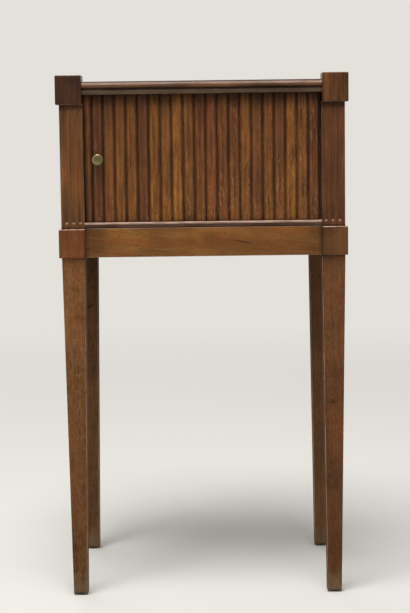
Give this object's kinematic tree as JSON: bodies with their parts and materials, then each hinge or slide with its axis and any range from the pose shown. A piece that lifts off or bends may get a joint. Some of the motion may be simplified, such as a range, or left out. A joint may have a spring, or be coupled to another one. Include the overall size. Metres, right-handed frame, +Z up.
{
  "type": "bedside table with tambour door",
  "caption": "Tall mahogany bedside table: fluted square posts tapering into legs, a cupboard closed by a sideways-sliding tambour door of upright slats with a round brass knob.",
  "frame": {"origin": "floor level under the centre of the table, which is the bottom centre of its box", "axes": "+Z up from the floor; the door faces -Y; +X is to the right of someone facing the door"},
  "size_m": [0.4022, 0.3022, 0.7315],
  "materials": {
    "post_wood": "satin, red-brown, worn grey-brown at the feet",
    "apron_wood": "satin, orange-brown with lengthwise figure",
    "board_wood": "satin, dark brown moulded edges",
    "top_wood": "polished, pale highlight along the rounded edge",
    "panel_wood": "satin, upright grain",
    "inner_wood": "unfinished secondary wood",
    "slat_red": "satin, upright grain",
    "slat_mid": "satin, upright grain",
    "slat_dark": "satin, upright grain",
    "slat_golden": "satin, upright grain",
    "slat_brown": "satin, upright grain",
    "canvas_cloth": "glued cotton canvas",
    "knob_brass": "aged, olive tint in the hollow",
    "screw_steel": "dull",
    "glide_steel": "dark, worn bright in the middle"
  },
  "bodies": {
    "case": {"leg_front_left": "post_wood", "leg_front_right": "post_wood", "leg_rear_left": "post_wood", "leg_rear_right": "post_wood", "glide_front_left": "glide_steel", "glide_front_right": "glide_steel", "glide_rear_left": "glide_steel", "glide_rear_right": "glide_steel", "apron_front": "apron_wood", "apron_rear": "apron_wood", "apron_left": "apron_wood", "apron_right": "apron_wood", "glue_block_front": "inner_wood", "glue_block_rear": "inner_wood", "glue_block_left": "inner_wood", "glue_block_right": "inner_wood", "glue_block_screws": "screw_steel", "floor_board": "board_wood", "track_board": "board_wood", "top_board": "top_wood", "top_screws": "screw_steel", "side_panel_left": "panel_wood", "side_panel_right": "panel_wood", "back_panel": "panel_wood", "inner_side": "inner_wood", "inner_back": "inner_wood", "canvas": "canvas_cloth", "slat_03": "slat_golden", "slat_04": "slat_brown", "slat_05": "slat_red", "slat_06": "slat_mid", "slat_07": "slat_dark", "slat_08": "slat_golden", "slat_09": "slat_brown", "slat_10": "slat_red", "slat_11": "slat_mid", "slat_12": "slat_dark", "slat_13": "slat_golden", "slat_14": "slat_brown", "slat_15": "slat_red", "slat_16": "slat_mid", "slat_17": "slat_dark", "slat_18": "slat_golden", "slat_19": "slat_brown", "slat_20": "slat_red", "slat_21": "slat_mid"},
    "tambour_lead": {"slat_01": "slat_mid", "slat_02": "slat_dark", "canvas_lead": "canvas_cloth", "knob": "knob_brass", "knob_screw": "screw_steel"}
  },
  "joints": [
    {"name": "tambour_slide", "type": "slide", "parent": "case", "child": "tambour_lead", "axis": [1, 0, 0], "range_m": [0, 0.296], "deforming": ["slat_03", "slat_04", "slat_05", "slat_06", "slat_07", "slat_08", "slat_09", "slat_10", "slat_11", "slat_12", "slat_13", "slat_14", "slat_15", "slat_16", "slat_17", "slat_18", "slat_19", "slat_20", "slat_21", "canvas"]}
  ]
}
